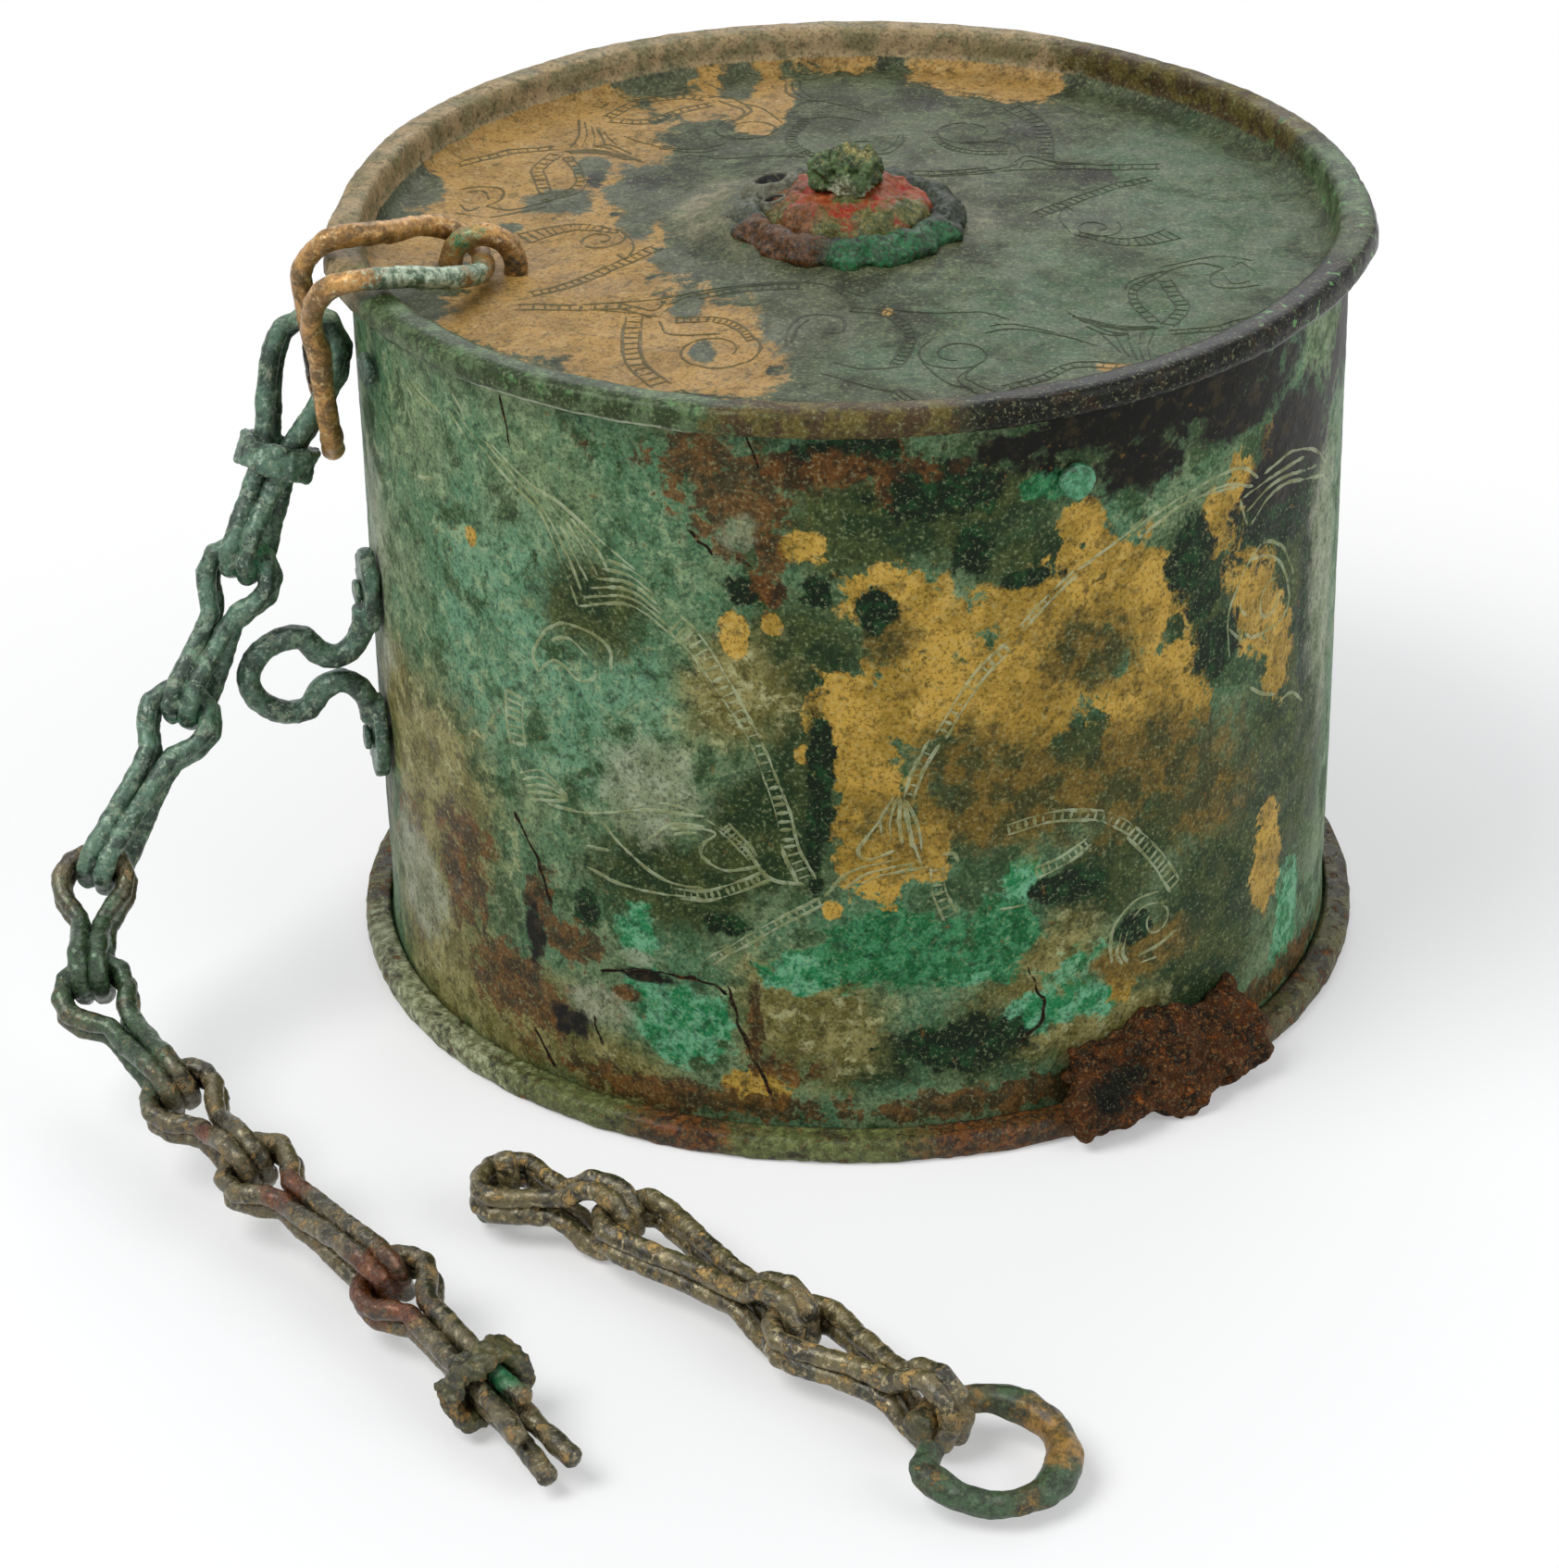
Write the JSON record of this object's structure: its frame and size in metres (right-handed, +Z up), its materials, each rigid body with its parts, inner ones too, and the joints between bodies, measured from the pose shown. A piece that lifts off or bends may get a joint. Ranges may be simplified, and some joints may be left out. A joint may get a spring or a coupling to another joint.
{
  "type": "cylindrical box",
  "caption": "Sealed cylindrical sheet-bronze box with crimped lid and base, enamelled lid boss, side loop, and a loop-in-loop chain on a shackle.",
  "frame": {"origin": "centre of the underside of the base, on the surface the box stands on", "axes": "+Z up along the box's axis, -Y towards the front with the loose length of chain, -X towards the side loop and the shackle"},
  "size_m": [0.1167, 0.1436, 0.0748],
  "materials": {
    "green_bronze": "green patina, matt",
    "tan_bronze": "tan and green patina, satin",
    "brown_bronze": "olive brown patina, satin",
    "golden_bronze": "golden bronze, rubbed",
    "red_enamel": "opaque red enamel, worn",
    "rusted_iron": "rough rust"
  },
  "bodies": {
    "box": {"body_wall": "green_bronze", "lid": "tan_bronze", "base": "green_bronze", "boss_collar": "green_bronze", "enamel_dome": "red_enamel", "boss_rivet": "green_bronze", "boss_rove": "green_bronze", "lid_staple": "golden_bronze", "wall_rivet_left": "green_bronze", "wall_rivet_right": "green_bronze", "side_loop": "green_bronze", "side_loop_rivet_upper": "green_bronze", "side_loop_rivet_lower": "green_bronze", "iron_lump": "rusted_iron"},
    "shackle": {"shackle": "golden_bronze"},
    "link_1": {"link_1": "green_bronze", "link_1_tie": "green_bronze"},
    "link_2": {"link_2": "green_bronze"},
    "link_3": {"link_3": "green_bronze"},
    "link_4": {"link_4": "brown_bronze"},
    "link_5": {"link_5": "brown_bronze"},
    "link_6": {"link_6": "brown_bronze"},
    "link_7": {"link_7": "brown_bronze"},
    "link_8": {"link_8_front": "brown_bronze", "link_8_back": "brown_bronze", "link_8_tie": "green_bronze"},
    "loose_link_2": {"loose_link_2": "brown_bronze"},
    "loose_link_1": {"loose_link_1": "brown_bronze", "loose_stub": "brown_bronze"},
    "loose_link_3": {"loose_link_3": "brown_bronze"},
    "terminal_ring": {"terminal_ring": "brown_bronze"}
  },
  "joints": [
    {"name": "shackle_swing", "type": "hinge", "parent": "box", "child": "shackle", "pos_m": [-0.0316, -0.0074, 0.0683], "axis": [0, 1, 0], "range_deg": [0, 20]},
    {"name": "link_1_swing", "type": "hinge", "parent": "shackle", "child": "link_1", "pos_m": [-0.04628, -0.00664, 0.06273], "axis": [-0.9251, 0.3001, 0.2327], "range_deg": [0, 12]},
    {"name": "link_2_swing", "type": "hinge", "parent": "link_1", "child": "link_2", "pos_m": [-0.05298, -0.01255, 0.04323], "axis": [-0.9068, 0.3174, 0.2774], "range_deg": [0, 12]},
    {"name": "link_3_swing", "type": "hinge", "parent": "link_2", "child": "link_3", "pos_m": [-0.0583, -0.0178, 0.03155], "axis": [-0.8928, 0.3333, 0.3032], "range_deg": [0, 12]},
    {"name": "link_4_swing", "type": "hinge", "parent": "link_3", "child": "link_4", "pos_m": [-0.06679, -0.02667, 0.01994], "axis": [-0.9987, -0.0464, -0.0225], "range_deg": [0, 6]},
    {"name": "link_5_swing", "type": "hinge", "parent": "link_4", "child": "link_5", "pos_m": [-0.06753, -0.03609, 0.01364], "axis": [-0.7755, -0.5396, -0.3277], "range_deg": [0, 10]},
    {"name": "link_6_swing", "type": "hinge", "parent": "link_5", "child": "link_6", "pos_m": [-0.059, -0.04534, 0.00838], "axis": [-0.7479, -0.5705, -0.3393], "range_deg": [0, 10]},
    {"name": "link_7_swing", "type": "hinge", "parent": "link_6", "child": "link_7", "pos_m": [-0.05165, -0.05379, 0.00614], "axis": [-0.7234, -0.5987, -0.3439], "range_deg": [0, 10]},
    {"name": "link_8_swing", "type": "hinge", "parent": "link_7", "child": "link_8", "pos_m": [-0.03846, -0.06861, 0.00493], "axis": [-0.7886, -0.5134, -0.3386], "range_deg": [0, 10]},
    {"name": "loose_length_lift", "type": "slide", "parent": "box", "child": "loose_link_2", "axis": [0, 0, 1], "range_m": [0, 0.05]},
    {"name": "loose_link_1_swing", "type": "hinge", "parent": "loose_link_2", "child": "loose_link_1", "pos_m": [-0.02006, -0.05889, 0.00395], "axis": [0.4644, 0.8856, 0], "range_deg": [0, 10]},
    {"name": "loose_link_3_swing", "type": "hinge", "parent": "loose_link_2", "child": "loose_link_3", "pos_m": [-0.00549, -0.07428, 0.00395], "axis": [-0.7002, -0.714, 0], "range_deg": [0, 10]},
    {"name": "ring_swing", "type": "hinge", "parent": "loose_link_3", "child": "terminal_ring", "pos_m": [0.00667, -0.08621, 0.00395], "axis": [-0.7002, -0.714, 0], "range_deg": [0, 20]}
  ]
}
